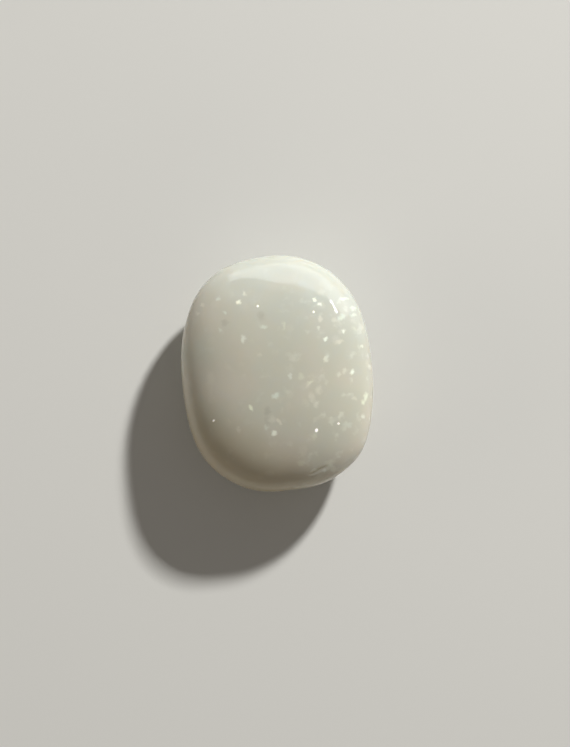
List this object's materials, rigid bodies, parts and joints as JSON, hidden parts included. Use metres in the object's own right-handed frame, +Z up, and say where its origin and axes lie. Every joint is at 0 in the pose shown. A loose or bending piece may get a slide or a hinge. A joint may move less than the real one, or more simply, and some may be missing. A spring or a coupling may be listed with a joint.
{
  "type": "tumbled milky opal pebble",
  "caption": "Tumble-polished milky precious opal, a pillow-shaped oval pebble with a domed top, rounded edges and a small flat to rest on.",
  "frame": {"origin": "middle of the stone's footprint, on the surface that it rests on", "axes": "+Z up through the crown, +Y along the stone's length, +X across its width"},
  "size_m": [0.0202, 0.025, 0.0099],
  "materials": {
    "opal": "polished"
  },
  "bodies": {
    "root": {"opal": "opal"}
  },
  "joints": []
}
